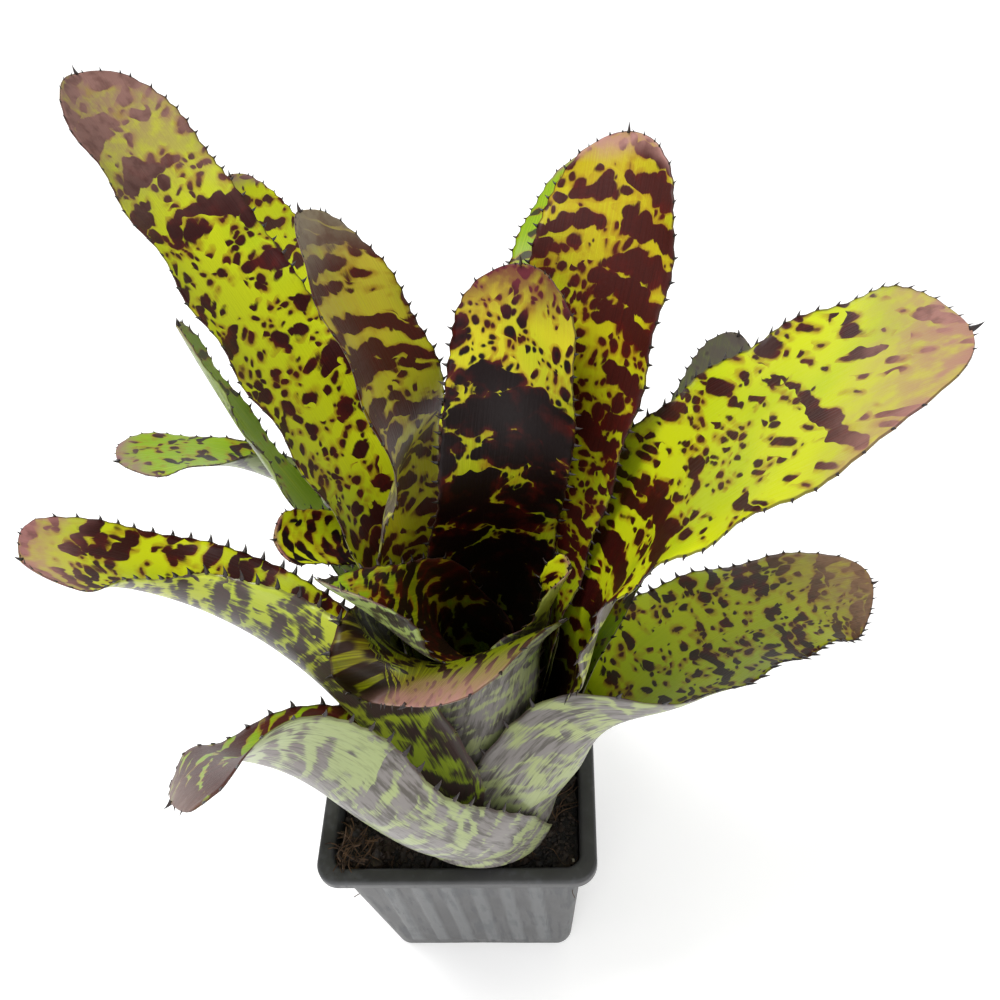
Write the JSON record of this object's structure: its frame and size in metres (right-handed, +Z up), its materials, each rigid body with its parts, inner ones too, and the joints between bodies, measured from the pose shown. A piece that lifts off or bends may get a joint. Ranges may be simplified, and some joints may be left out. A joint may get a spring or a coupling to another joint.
{
  "type": "potted neoregelia bromeliad",
  "caption": "Neoregelia bromeliad: an open rosette of long, channelled, spiny leaves around a cup, in its small square black plastic nursery pot of bark mix.",
  "frame": {"origin": "middle of the pot's flat base, on the surface it stands on", "axes": "+Z up, +X and +Y along the pot's sides; the rosette leans towards +Y and +X"},
  "size_m": [0.261, 0.2145, 0.2952],
  "materials": {
    "pot": "fine satin",
    "mix": "loose, damp",
    "stem": "fibrous",
    "leaf": "waxy gloss"
  },
  "bodies": {
    "root": {"pot": "pot", "potting_mix": "mix", "stem": "stem", "leaf_01": "leaf", "leaf_02": "leaf", "leaf_03": "leaf", "leaf_04": "leaf", "leaf_05": "leaf", "leaf_06": "leaf", "leaf_07": "leaf", "leaf_08": "leaf", "leaf_09": "leaf", "leaf_10": "leaf", "leaf_11": "leaf", "leaf_12": "leaf", "leaf_13": "leaf", "leaf_14": "leaf", "leaf_15": "leaf", "leaf_16": "leaf", "leaf_17": "leaf"}
  },
  "joints": []
}
